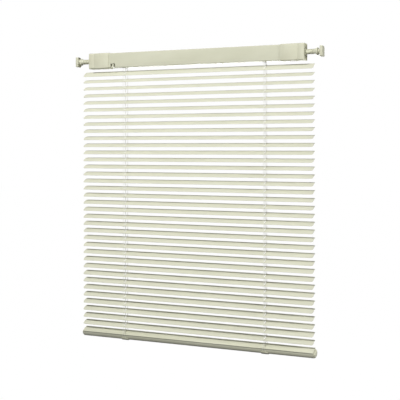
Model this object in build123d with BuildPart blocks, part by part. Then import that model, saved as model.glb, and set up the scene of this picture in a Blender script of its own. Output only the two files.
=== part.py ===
from build123d import *
import os
from math import cos, radians, sin, tan

# Cordless mini blind on two tension screws, in millimetres.
# X runs along the blind, -Y faces the room and Z is up. The origin is on the common axis of the two
# screws, half-way between the feet.

# Headrail channel
channel_height = 44.0
channel_depth = 27.0
channel_crown = 0.8  # how far the front wall bows out at mid-height
channel_wall = 1.2
channel_lip = 4.0  # how far each top edge turns in
channel_corner = 2.0
part_fit = 0.15  # gap left between pieces that slip into each other

# Sleeves and end caps
blind_half_width = 340.5  # to the outer face of an end cap
cap_length = 17.5
sleeve_length = 50.5
sleeve_wall = 1.35
cap_recess = 3.0
cap_wall = 2.0
spigot_length = 6.0
spigot_wall = 1.4
boss_diameter = 20.0
boss_stand_out = 1.0
barrel_width = 19.0
barrel_depth = 32.0  # from the inside of the end wall

# Tension screws, feet and pads
screw_diameter = 14.4
running_fit = 0.05  # radial
screw_length = 66.5  # from its inner end to the collar
screw_visible = 25.0  # between the boss and the collar
collar_flare = 7.0
collar_diameter = 21.0
collar_flange = 3.0
foot_gap = 0.4
cup_diameter = 17.0
cup_length = 6.0
pivot_diameter = 8.0
pivot_length = 5.0
foot_thickness = 6.5
foot_height = 30.0
foot_depth = 21.0
foot_corner = 2.0
foot_slant = 6.0
pad_thickness = 2.0
pad_margin = 0.8

# Slats
slat_count = 36
slat_length = 729.0
slat_width = 25.0
slat_crown = 1.8
slat_flats = 4  # the crown is made of this many flats
slat_thickness = 0.5
slat_corner = 3.0
slat_pitch = 21.5
slat_tilt = 25.0  # degrees, front edge down
first_slat_tilt = 36.0
first_slat_drop = 15.5  # below the headrail's underside
route_slot_length = 12.4
route_slot_width = 3.2

# Ladders and lift cords
ladder_inset = 118.0  # from the outer face of the nearer end cap
string_diameter = 0.9
string_spacing = 27.2
string_bend = 3.0
string_spread = 5.5  # where the strings are fully apart, above the first slat's pivot
rail_swing = 30.0  # degrees, steepest line from the rail's pivot to a string's lower end
lift_cord_diameter = 1.4
cord_sides = 6
lift_cord_bend = 3.0

# Tilt rod, drums and cradles
rod_z = -6.0
rod_across_flats = 6.0
drum_radius = 7.2
drum_flange_radius = 8.7
drum_groove = 6.0
drum_flange = 2.0
drum_hub_radius = 5.0
drum_hub = 4.5
string_clearance = 0.35
cradle_base = 2.0
cradle_wall = 2.6
cradle_depth = 22.0
cradle_side_gap = 0.3
bearing_snap = 1.2  # how much narrower the bearing's mouth is than the hub
grommet_width = 5.0
grommet_length = 20.0
grommet_stand_out = 1.2
cord_hole_gap = 0.45

# Tilter: a worm on a slanted stem drives a small gear on the rod
tilter_inset = 82.5  # from the outer face of the left-hand end cap
stem_lean = 25.0  # degrees, lower end forward
gear_teeth = 14
gear_root_radius = 4.0
gear_tip_radius = 5.0
gear_width = 5.0
tooth_flank = 72.0  # degrees, from the tooth's base
tooth_thickness = 1.05  # at the base
tooth_seat = 0.2  # how far a tooth's base lies inside the root circle
worm_radius = 2.5
worm_length = 12.0
mesh_gap = 0.3
stem_radius = 2.1
stem_tip_radius = 1.5
stem_tip_length = 3.0
stem_reach = 22.0  # from the mesh point to the centre of the eye
eye_diameter = 7.0
eye_thickness = 3.2
eye_hole_radius = 1.5
housing_length = 20.0
housing_depth = 23.0
housing_height = 27.0
notch_width = 15.0
notch_height = 12.4

# Spring motor
motor_length = 104.0
motor_depth = 22.5
motor_height = 35.0
motor_bevel = 1.5
rod_tunnel = 8.4
motor_flange = 2.4
motor_flange_out = 0.9

# Bottom rail
rail_width = 25.6
rail_crown = 1.8
rail_height = 23.0
rail_lip = 1.8
rail_groove = 1.1
rail_groove_height = 1.3
rail_wall = 1.3
rail_bottom_round = 8.0
rail_slot_length = 8.0
rail_cap_dome = 3.2
rail_cap_taper = 35.0  # degrees
rail_cap_flange = 1.2
rail_cap_spigot = 8.0
rail_cap_spigot_width = 10.0
rail_cap_inset = 0.6
clip_length = 21.0
clip_thickness = 1.6
clip_under = 5.0  # how far a clip reaches behind the rail's middle
clip_front = 10.0  # how far it reaches up the rail's front face
clip_plug = 6.5
clip_plug_depth = 5.0

# Places worked out from the sizes
channel_top = channel_height / 2
channel_bottom = -channel_height / 2
floor_z = channel_bottom + channel_wall
cap_inner_x = blind_half_width - cap_length
sleeve_inner_x = cap_inner_x - sleeve_length
end_wall_x = blind_half_width - cap_recess - cap_wall
boss_face_x = blind_half_width + boss_stand_out
channel_half_length = cap_inner_x - spigot_length - part_fit
ladder_x = blind_half_width - ladder_inset
tilter_x = tilter_inset - blind_half_width
collar_x = boss_face_x + screw_visible
collar_face_x = collar_x + collar_flare + collar_flange
screw_inner_x = collar_x - screw_length
foot_inner_x = collar_face_x + foot_gap + cup_length
foot_outer_x = foot_inner_x + foot_thickness
first_slat_z = channel_bottom - first_slat_drop
rail_pivot_z = first_slat_z - slat_count * slat_pitch
drum_string_y = drum_radius + string_clearance + string_diameter / 2


def channel_outline(grow):
    """Outline of the channel's outside, grown evenly on every side."""
    half = channel_depth / 2 + grow
    top = channel_height / 2 + grow
    with BuildSketch() as outline:
        with BuildLine():
            front = ThreePointArc((-half, -top), (-half - channel_crown, 0), (-half, top))
            Polyline(front @ 1, (half, top), (half, -top), front @ 0)
        make_face()
        fillet(outline.vertices(), radius=channel_corner + grow)
    return outline.sketch


def write(part, name):
    """Label one finished piece and write its file."""
    part.label = name
    export_step(part, f"parts/{name}.step")


def write_pair(right, piece):
    """Write the right-hand piece and its mirror image."""
    with BuildPart() as left:
        add(right.part)
        mirror(about=Plane.YZ, mode=Mode.REPLACE)
    write(right.part, f"right_{piece}")
    write(left.part, f"left_{piece}")


os.makedirs("parts", exist_ok=True)

# Tilter geometry: the stem lies in the plane X = tilter_x and passes in front of the rod
stem_down = Vector(0, -sin(radians(stem_lean)), -cos(radians(stem_lean)))
stem_front = Vector(0, -cos(radians(stem_lean)), sin(radians(stem_lean)))
mesh_point = Vector(tilter_x, 0, rod_z) + stem_front * (gear_tip_radius + worm_radius + mesh_gap)


def stem_plane(distance):
    """Plane across the stem, so far below the mesh point."""
    return Plane(origin=mesh_point + stem_down * distance, x_dir=(1, 0, 0), z_dir=stem_down)


# Headrail: a channel with turned-in lips, a bowed front, and holes for the ladders and the tilter
with BuildPart() as headrail:
    with BuildSketch(Plane.YZ.offset(-channel_half_length)):
        add(channel_outline(0))
        add(channel_outline(-channel_wall), mode=Mode.SUBTRACT)
        with Locations((0, channel_top)):
            Rectangle(channel_depth - 2 * (channel_wall + channel_lip), 3 * channel_wall, mode=Mode.SUBTRACT)
    extrude(amount=2 * channel_half_length)
    with BuildSketch(Plane.XY.offset(channel_bottom - channel_wall)):
        with Locations((-ladder_x, 0), (ladder_x, 0)):
            Rectangle(grommet_width + 2 * part_fit, grommet_length + 2 * part_fit)
    extrude(amount=3 * channel_wall, mode=Mode.SUBTRACT)
    with BuildSketch(Plane.XZ.offset(channel_depth / 2 - channel_corner - channel_wall)):
        with Locations((tilter_x, channel_bottom)):
            Rectangle(notch_width, 2 * notch_height)
    extrude(amount=channel_depth / 2, mode=Mode.SUBTRACT)
write(headrail.part, "headrail")

# Sleeves over the channel's ends
with BuildPart() as right_sleeve:
    with BuildSketch(Plane.YZ.offset(sleeve_inner_x)):
        add(channel_outline(part_fit + sleeve_wall))
        add(channel_outline(part_fit), mode=Mode.SUBTRACT)
    extrude(amount=sleeve_length)
write_pair(right_sleeve, "sleeve")

# End caps: a skirt level with the sleeve, a spigot inside it, a recessed wall, a boss and a barrel
with BuildPart() as right_end_cap:
    with BuildSketch(Plane.YZ.offset(cap_inner_x)):
        add(channel_outline(part_fit + sleeve_wall))
    extrude(amount=cap_length)
    with BuildSketch(Plane.YZ.offset(cap_inner_x - spigot_length)) as spigot:
        Rectangle(channel_depth, channel_height)
        chamfer(spigot.vertices(), length=channel_corner)
    extrude(amount=spigot_length)
    with BuildSketch(Plane.YZ.offset(cap_inner_x - spigot_length)):
        Rectangle(channel_depth - 2 * spigot_wall, channel_height - 2 * spigot_wall)
    extrude(amount=spigot_length + cap_length, mode=Mode.SUBTRACT)
    with BuildSketch(Plane.YZ.offset(end_wall_x)):
        Rectangle(channel_depth, channel_height)
    extrude(amount=cap_wall)
    with BuildSketch(Plane.YZ.offset(end_wall_x - barrel_depth)):
        Rectangle(barrel_width, barrel_width)
    extrude(amount=barrel_depth)
    with BuildSketch(Plane.YZ.offset(end_wall_x)):
        Circle(boss_diameter / 2)
    extrude(amount=boss_face_x - end_wall_x)
    with BuildSketch(Plane.YZ.offset(end_wall_x - barrel_depth)):
        Circle(screw_diameter / 2 + running_fit)
    extrude(amount=barrel_depth + boss_face_x - end_wall_x, mode=Mode.SUBTRACT)
write_pair(right_end_cap, "end_cap")

# Tension screws: threaded shank, flared collar and the pivot that turns in the foot's cup
with BuildPart() as right_screw:
    with BuildSketch(Plane.XZ):
        with BuildLine():
            Polyline(
                (screw_inner_x, 0),
                (screw_inner_x, screw_diameter / 2),
                (collar_x, screw_diameter / 2),
                (collar_x + collar_flare, collar_diameter / 2),
                (collar_face_x, collar_diameter / 2),
                (collar_face_x, pivot_diameter / 2),
                (collar_face_x + foot_gap + pivot_length, pivot_diameter / 2),
                (collar_face_x + foot_gap + pivot_length, 0),
                close=True,
            )
        make_face()
    revolve(axis=Axis.X)
write_pair(right_screw, "screw")

# Feet: a plate with a slanted top rear corner and a cup round the screw's pivot
with BuildPart() as right_foot:
    with BuildSketch(Plane.YZ.offset(foot_inner_x)) as plate:
        with BuildLine():
            Polyline(
                (-foot_depth / 2, -foot_height / 2),
                (foot_depth / 2, -foot_height / 2),
                (foot_depth / 2, foot_height / 2 - foot_slant),
                (foot_depth / 2 - foot_slant, foot_height / 2),
                (-foot_depth / 2, foot_height / 2),
                close=True,
            )
        make_face()
        chamfer(plate.vertices(), length=foot_corner)
    extrude(amount=foot_thickness)
    with BuildSketch(Plane.YZ.offset(foot_inner_x - cup_length)):
        Circle(cup_diameter / 2)
    extrude(amount=cup_length)
    with BuildSketch(Plane.YZ.offset(foot_inner_x - cup_length)):
        Circle(pivot_diameter / 2 + running_fit)
    extrude(amount=pivot_length + foot_gap, mode=Mode.SUBTRACT)
write_pair(right_foot, "foot")

# Pads: soft plates on the outer faces of the feet
with BuildPart() as right_pad:
    with BuildSketch(Plane.YZ.offset(foot_outer_x)):
        add(offset(plate.sketch_local, amount=-pad_margin, mode=Mode.PRIVATE))
    extrude(amount=pad_thickness)
write_pair(right_pad, "pad")

# Tilt rod: a hexagonal bar from the tilter to the right-hand drum
rod_left_x = tilter_x - housing_length / 2 + channel_wall
rod_right_x = ladder_x + drum_groove / 2 + drum_flange + drum_hub
with BuildPart() as tilt_rod:
    with BuildSketch(Plane.YZ.offset(rod_left_x)):
        with Locations((0, rod_z)):
            RegularPolygon(rod_across_flats / 2, 6, major_radius=False)
    extrude(amount=rod_right_x - rod_left_x)
write(tilt_rod.part, "tilt_rod")

# Ladder drums: a groove between two flanges, on hubs that turn in the cradles
drum_half = drum_groove / 2 + drum_flange + drum_hub
with BuildPart() as ladder_drums:
    for x in (-ladder_x, ladder_x):
        for half_length, radius in (
            (drum_half, drum_hub_radius),
            (drum_groove / 2 + drum_flange, drum_flange_radius),
        ):
            with BuildSketch(Plane.YZ.offset(x - half_length)):
                with Locations((0, rod_z)):
                    Circle(radius)
            extrude(amount=2 * half_length)
        with BuildSketch(Plane.YZ.offset(x - drum_groove / 2)):
            with Locations((0, rod_z)):
                Circle(2 * drum_flange_radius)
                Circle(drum_radius, mode=Mode.SUBTRACT)
        extrude(amount=drum_groove, mode=Mode.SUBTRACT)
        with BuildSketch(Plane.YZ.offset(x - drum_half)):
            with Locations((0, rod_z)):
                RegularPolygon(rod_across_flats / 2 + running_fit, 6, major_radius=False)
        extrude(amount=2 * drum_half, mode=Mode.SUBTRACT)
write(ladder_drums.part, "ladder_drums")

# Drum cradles: a base on the channel's floor, two open bearings and a grommet through the floor
bearing_x = drum_groove / 2 + drum_flange + cradle_side_gap
cradle_length = 2 * (bearing_x + cradle_wall)
cradle_top = rod_z + drum_hub_radius
with BuildPart() as drum_cradles:
    for x in (-ladder_x, ladder_x):
        with BuildSketch(Plane.XY.offset(floor_z)):
            with Locations((x, 0)):
                Rectangle(cradle_length, cradle_depth)
        extrude(amount=cradle_base)
        with BuildSketch(Plane.XY.offset(channel_bottom - grommet_stand_out)):
            with Locations((x, 0)):
                Rectangle(grommet_width, grommet_length)
        extrude(amount=grommet_stand_out + channel_wall)
        for side in (-1, 1):
            with BuildSketch(Plane.YZ.offset(x + side * (bearing_x + cradle_wall / 2) - cradle_wall / 2)):
                with Locations((0, floor_z)):
                    Rectangle(cradle_depth, cradle_top - floor_z, align=(Align.CENTER, Align.MIN))
                with Locations((0, rod_z)):
                    Circle(drum_hub_radius + running_fit, mode=Mode.SUBTRACT)
                    Rectangle(
                        2 * drum_hub_radius - bearing_snap,
                        2 * drum_hub_radius,
                        align=(Align.CENTER, Align.MIN),
                        mode=Mode.SUBTRACT,
                    )
                with Locations((0, floor_z + cradle_base)):
                    Rectangle(
                        3 * lift_cord_diameter,
                        lift_cord_bend + lift_cord_diameter,
                        align=(Align.CENTER, Align.MIN),
                        mode=Mode.SUBTRACT,
                    )
            extrude(amount=cradle_wall)
        with BuildSketch(Plane.XY.offset(channel_bottom - grommet_stand_out)):
            with Locations((x, 0)):
                Rectangle(
                    lift_cord_diameter + 2 * cord_hole_gap,
                    2 * drum_string_y + string_diameter + 2 * cord_hole_gap,
                )
        extrude(amount=grommet_stand_out + channel_wall + cradle_base, mode=Mode.SUBTRACT)
write(drum_cradles.part, "drum_cradles")

# Tilt gear on the rod
with BuildPart() as tilt_gear:
    with BuildSketch(Plane.YZ.offset(tilter_x - gear_width / 2)):
        with Locations((0, rod_z)):
            Circle(gear_root_radius)
            tooth_height = gear_tip_radius - gear_root_radius + tooth_seat
            with PolarLocations(gear_tip_radius - tooth_height / 2, gear_teeth):
                Trapezoid(tooth_thickness, tooth_height, tooth_flank, rotation=-90)
            RegularPolygon(rod_across_flats / 2 + running_fit, 6, major_radius=False, mode=Mode.SUBTRACT)
    extrude(amount=gear_width)
write(tilt_gear.part, "tilt_gear")

# Tilter hook: upper journal, worm, stem and a flat eye for the wand
with BuildPart() as tilter_hook:
    with BuildSketch(stem_plane(-worm_length / 2 - stem_tip_length)):
        Circle(stem_tip_radius)
    extrude(amount=stem_tip_length)
    with BuildSketch(stem_plane(-worm_length / 2)):
        Circle(worm_radius)
    extrude(amount=worm_length)
    with BuildSketch(stem_plane(worm_length / 2)):
        Circle(stem_radius)
    extrude(amount=stem_reach - worm_length / 2)
    eye_plane = Plane(
        origin=mesh_point + stem_down * stem_reach - Vector(eye_thickness / 2, 0, 0),
        x_dir=stem_down,
        z_dir=(1, 0, 0),
    )
    with BuildSketch(eye_plane):
        Circle(eye_diameter / 2)
    extrude(amount=eye_thickness)
    with BuildSketch(eye_plane.offset(-eye_thickness)):
        Circle(eye_hole_radius)
    extrude(amount=3 * eye_thickness, mode=Mode.SUBTRACT)
write(tilter_hook.part, "tilter_hook")

# Tilter housing: a block on the channel's floor with a pocket for the gear and a bore for the worm
with BuildPart() as tilter_housing:
    with BuildSketch(Plane.YZ.offset(tilter_x - housing_length / 2)) as housing_side:
        with Locations((0, floor_z)):
            Rectangle(housing_depth, housing_height, align=(Align.CENTER, Align.MIN))
        chamfer(housing_side.vertices().group_by(Axis.Y)[-1], length=channel_corner)
    extrude(amount=housing_length)
    with BuildSketch(Plane.YZ.offset(tilter_x - gear_width / 2 - mesh_gap)):
        with Locations((0, rod_z - gear_tip_radius - mesh_gap)):
            Rectangle(
                2 * (gear_tip_radius + mesh_gap),
                housing_height,
                align=(Align.CENTER, Align.MIN),
            )
    extrude(amount=gear_width + 2 * mesh_gap, mode=Mode.SUBTRACT)
    with BuildSketch(Plane.YZ.offset(tilter_x - housing_length)):
        with Locations((0, rod_z)):
            Rectangle(rod_tunnel, rod_tunnel)
    extrude(amount=2 * housing_length, mode=Mode.SUBTRACT)
    with BuildSketch(stem_plane(-worm_length / 2 - mesh_gap)):
        Circle(worm_radius + mesh_gap)
    extrude(amount=worm_length + 2 * mesh_gap, mode=Mode.SUBTRACT)
    with BuildSketch(stem_plane(-worm_length / 2 - stem_tip_length - mesh_gap)):
        Circle(stem_tip_radius + running_fit)
    extrude(amount=stem_tip_length + 2 * mesh_gap, mode=Mode.SUBTRACT)
    with BuildSketch(stem_plane(worm_length / 2)):
        Circle(stem_radius + running_fit)
    extrude(amount=stem_reach, mode=Mode.SUBTRACT)
write(tilter_housing.part, "tilter_housing")

# Spring motor: a closed case with end flanges, over a tunnel for the rod
with BuildPart() as spring_motor:
    with BuildSketch(Plane.YZ.offset(-motor_length / 2)) as motor_end:
        with Locations((0, floor_z)):
            Rectangle(motor_depth, motor_height, align=(Align.CENTER, Align.MIN))
        chamfer(motor_end.vertices(), length=motor_bevel)
    extrude(amount=motor_length)
    with BuildSketch(Plane.XZ.offset(-motor_depth)):
        with Locations((0, floor_z + motor_height)):
            with GridLocations(motor_length / 2, 0, 2, 1):
                Rectangle(motor_length / 2 - 2 * motor_flange, 2 * motor_flange_out)
            Rectangle(motor_flange, 2 * motor_flange_out)
    extrude(amount=2 * motor_depth, mode=Mode.SUBTRACT)
    with BuildSketch(Plane.YZ.offset(-motor_length)):
        with Locations((0, rod_z)):
            Rectangle(rod_tunnel, rod_tunnel)
    extrude(amount=2 * motor_length, mode=Mode.SUBTRACT)
write(spring_motor.part, "spring_motor")

# Slat blank: crowned strip with cut corners and two route slots, level, centred on its own pivot
with BuildPart() as slat_blank:
    with BuildSketch(Plane.YZ.offset(-slat_length / 2)):
        with BuildLine():
            across = [slat_width * (flat / slat_flats - 0.5) for flat in range(slat_flats + 1)]
            crown = [(y, -slat_crown * (2 * y / slat_width) ** 2) for y in across]
            top = [(y, z + slat_thickness / 2) for y, z in crown]
            under = [(y, z - slat_thickness / 2) for y, z in reversed(crown)]
            Polyline(*top, *under, close=True)
        make_face()
    extrude(amount=slat_length)
    with BuildSketch(Plane.XY.offset(-slat_width)) as slat_outline:
        Rectangle(slat_length, slat_width)
        chamfer(slat_outline.vertices(), length=slat_corner)
        with Locations((-ladder_x, 0), (ladder_x, 0)):
            Rectangle(route_slot_width, route_slot_length, mode=Mode.SUBTRACT)
    extrude(amount=2 * slat_width, mode=Mode.INTERSECT)

for index in range(slat_count):
    tilt = first_slat_tilt if index == 0 else slat_tilt
    with BuildPart() as slat:
        with Locations(Location((0, 0, first_slat_z - index * slat_pitch), (tilt, 0, 0))):
            add(slat_blank.part)
    write(slat.part, f"slat_{index + 1:02d}")

# Bottom rail: a hollow section with a crowned cover whose lips overhang a groove, tilted as the slats
rail_plane = Plane(
    origin=(0, 0, rail_pivot_z),
    x_dir=(0, cos(radians(slat_tilt)), sin(radians(slat_tilt))),
    z_dir=(1, 0, 0),
)
lip_half = rail_width / 2
neck_half = lip_half - rail_groove
lip_top = slat_thickness / 2 - rail_crown
lip_under = lip_top - rail_lip
body_top = lip_under - rail_groove_height
rail_floor = slat_thickness / 2 - rail_height


def rail_outline(include_lips):
    """Outline of the bottom rail, or of the room inside it, in its own tilted plane."""
    with BuildSketch() as outline:
        with BuildLine():
            crown = ThreePointArc((-lip_half, lip_top), (0, slat_thickness / 2), (lip_half, lip_top))
            Polyline(
                crown @ 1,
                (lip_half, lip_under),
                (neck_half, lip_under),
                (neck_half, body_top),
                (lip_half, body_top),
                (lip_half, rail_floor),
                (-lip_half, rail_floor),
                (-lip_half, body_top),
                (-neck_half, body_top),
                (-neck_half, lip_under),
                (-lip_half, lip_under),
                crown @ 0,
            )
        make_face()
        fillet(outline.vertices().group_by(Axis.Y)[0], radius=rail_bottom_round)
        if not include_lips:
            with Locations((0, (rail_floor + body_top) / 2)):
                Rectangle(2 * lip_half, body_top - rail_floor, mode=Mode.INTERSECT)
            offset(amount=-rail_wall, mode=Mode.REPLACE)
    return outline.sketch


with BuildPart() as bottom_rail:
    with BuildSketch(rail_plane.offset(-slat_length / 2)):
        add(rail_outline(True))
        add(rail_outline(False), mode=Mode.SUBTRACT)
    extrude(amount=slat_length)
    cover_plane = Plane(
        origin=(0, 0, rail_pivot_z),
        x_dir=(1, 0, 0),
        z_dir=(0, -sin(radians(slat_tilt)), cos(radians(slat_tilt))),
    )
    with BuildSketch(cover_plane.offset(body_top - 2 * rail_wall)):
        with Locations((-ladder_x, 0), (ladder_x, 0)):
            Rectangle(route_slot_width, rail_slot_length)
    extrude(amount=rail_width / 2, mode=Mode.SUBTRACT)
    with BuildSketch(cover_plane.offset(rail_floor - rail_wall)):
        with Locations((-ladder_x, 0), (ladder_x, 0)):
            Rectangle(clip_plug + 2 * part_fit, clip_plug + 2 * part_fit)
    extrude(amount=3 * rail_wall, mode=Mode.SUBTRACT)
write(bottom_rail.part, "bottom_rail")

# Rail end caps: a flange over the rail's end with a domed outside and a spigot inside the hollow
with BuildPart() as rail_end_caps:
    for side in (-1, 1):
        end = rail_plane.offset(side * slat_length / 2)
        with BuildSketch(end) as flange:
            add(rail_outline(False))
            offset(amount=rail_wall - rail_cap_inset, mode=Mode.REPLACE)
        extrude(amount=side * rail_cap_flange)
        with BuildSketch(end.offset(side * rail_cap_flange)):
            add(flange.sketch_local)
        extrude(amount=side * rail_cap_dome, taper=rail_cap_taper)
        with BuildSketch(end):
            with Locations((0, rail_floor + rail_wall + part_fit)):
                Rectangle(
                    rail_cap_spigot_width,
                    body_top - rail_floor - 2 * (rail_wall + part_fit),
                    align=(Align.CENTER, Align.MIN),
                )
        extrude(amount=-side * rail_cap_spigot)
write(rail_end_caps.part, "rail_end_caps")

# Ladder clips: saddles round the rail's lower front edge, each on a plug in the rail's floor
with BuildPart() as ladder_clips:
    for x in (-ladder_x, ladder_x):
        with BuildSketch(rail_plane.offset(x - clip_length / 2)):
            add(rail_outline(False))
            offset(amount=rail_wall + clip_thickness, mode=Mode.REPLACE)
            add(offset(rail_outline(False), amount=rail_wall, mode=Mode.PRIVATE), mode=Mode.SUBTRACT)
            with Locations((-rail_width, rail_floor - rail_width)):
                Rectangle(
                    rail_width + clip_under,
                    rail_width + clip_front,
                    align=(Align.MIN, Align.MIN),
                    mode=Mode.INTERSECT,
                )
        extrude(amount=clip_length)
    with BuildSketch(cover_plane.offset(rail_floor)):
        with Locations((-ladder_x, 0), (ladder_x, 0)):
            Rectangle(clip_plug, clip_plug)
    extrude(amount=clip_plug_depth)
write(ladder_clips.part, "ladder_clips")

# Ladder strings: down from the drum through the grommet, out to the slats' edges, then straight down
rail_reach = rail_width / 2 * tan(radians(rail_swing)) + string_diameter
string_end_z = rail_pivot_z + rail_reach
spread_z = first_slat_z + string_spread


def ladder_strings(side):
    """The two upright strings on one face of the blind: side is -1 for the front, 1 for the rear."""
    with BuildPart() as strings:
        for x in (-ladder_x, ladder_x):
            with BuildLine() as route:
                FilletPolyline(
                    (x, side * drum_string_y, rod_z),
                    (x, side * drum_string_y, channel_bottom - 2 * grommet_stand_out),
                    (x, side * string_spacing / 2, spread_z),
                    (x, side * string_spacing / 2, string_end_z),
                    radius=string_bend,
                )
            with BuildSketch(Plane(origin=route.line @ 0, z_dir=route.line % 0)):
                RegularPolygon(string_diameter / 2, cord_sides)
            sweep(path=route.line)
    return strings.part


write(ladder_strings(-1), "front_ladder_strings")
write(ladder_strings(1), "rear_ladder_strings")

# Lift cords: out of the motor's ends along the floor, then down through the slats to the rail
lift_cord_z = floor_z + cradle_base + lift_cord_bend
with BuildPart() as lift_cords:
    for side in (-1, 1):
        with BuildLine() as route:
            FilletPolyline(
                (side * motor_length / 2, 0, lift_cord_z),
                (side * ladder_x, 0, lift_cord_z),
                (side * ladder_x, 0, rail_pivot_z),
                radius=lift_cord_bend,
            )
        with BuildSketch(Plane(origin=route.line @ 0, z_dir=route.line % 0)):
            RegularPolygon(lift_cord_diameter / 2, cord_sides)
        sweep(path=route.line)
write(lift_cords.part, "lift_cords")
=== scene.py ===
"""Cordless mini blind on two tension screws: the looks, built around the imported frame, in metres."""

import logging
from dataclasses import dataclass, field
from enum import Enum
from math import cos, hypot, pi, radians, sin
from typing import Callable, Sequence, Union

import bpy
import bmesh
from mathutils import Matrix, Vector


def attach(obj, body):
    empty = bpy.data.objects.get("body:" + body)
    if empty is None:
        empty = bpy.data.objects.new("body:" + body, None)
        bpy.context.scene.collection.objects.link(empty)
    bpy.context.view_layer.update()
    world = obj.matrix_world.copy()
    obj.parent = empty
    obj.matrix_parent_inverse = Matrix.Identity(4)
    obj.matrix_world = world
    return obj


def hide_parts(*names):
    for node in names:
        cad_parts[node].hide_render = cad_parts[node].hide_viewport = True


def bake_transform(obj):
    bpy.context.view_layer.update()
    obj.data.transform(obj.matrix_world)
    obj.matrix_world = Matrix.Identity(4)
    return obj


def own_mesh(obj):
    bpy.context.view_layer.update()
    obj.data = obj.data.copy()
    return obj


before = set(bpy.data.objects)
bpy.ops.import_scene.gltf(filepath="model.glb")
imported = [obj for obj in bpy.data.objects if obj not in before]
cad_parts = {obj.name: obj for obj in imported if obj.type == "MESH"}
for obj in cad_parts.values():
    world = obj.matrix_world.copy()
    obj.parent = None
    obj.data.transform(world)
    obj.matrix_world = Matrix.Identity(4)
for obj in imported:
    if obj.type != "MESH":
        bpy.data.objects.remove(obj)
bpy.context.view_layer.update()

MM = 0.001
TOUCH = 1e-6  # how close two points count as one
WELD = 1e-5  # how close vertices are merged
SOFT_SPECULAR = 0.2
WHITE = (1.0, 1.0, 1.0, 1.0)
log = logging.getLogger("mini_blind")
Piece = bpy.types.Object
Pair = tuple[float, float]
Point = tuple[float, float, float]
Colour = tuple[float, float, float, float]
Number = Union[float, "Value"]


def in_mm(*pairs: Pair) -> tuple[Pair, ...]:
    """Turn pairs of millimetres into metres."""
    return tuple((first * MM, second * MM) for first, second in pairs)


class Side(Enum):
    """The two ends of the blind, as the sign of X."""

    LEFT = -1
    RIGHT = 1

    @property
    def word(self) -> str:
        """The side's name in lower case."""
        return self.name.lower()


# Shader building


def linear(shade: str) -> Colour:
    """Turn a hexadecimal display colour into linear light.

    Args:
        shade: Six hexadecimal digits.

    Returns:
        Red, green, blue and an alpha of 1.
    """
    parts = [int(shade[i:i + 2], 16) / 255 for i in (0, 2, 4)]
    light = [c / 12.92 if c <= 0.04045 else ((c + 0.055) / 1.055) ** 2.4 for c in parts]
    return (light[0], light[1], light[2], 1.0)


class Value:
    """A shader value that adds its own Math nodes when it is used in an expression."""

    def __init__(self, graph: "Graph", socket: bpy.types.NodeSocket | None) -> None:
        """Wrap one output socket of a graph's node, or None for a node without outputs."""
        self.graph = graph
        self.socket = socket

    def _math(self, operation: str, other: Number) -> "Value":
        """Add a Math node on this value and another one."""
        return self.graph.node("ShaderNodeMath", {"operation": operation}, {0: self, 1: other})

    def __add__(self, other: Number) -> "Value":
        """Sum."""
        return self._math("ADD", other)

    def __mul__(self, other: Number) -> "Value":
        """Product."""
        return self._math("MULTIPLY", other)

    __radd__ = __add__
    __rmul__ = __mul__

    def larger(self, other: Number) -> "Value":
        """The larger of the two."""
        return self._math("MAXIMUM", other)


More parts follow.
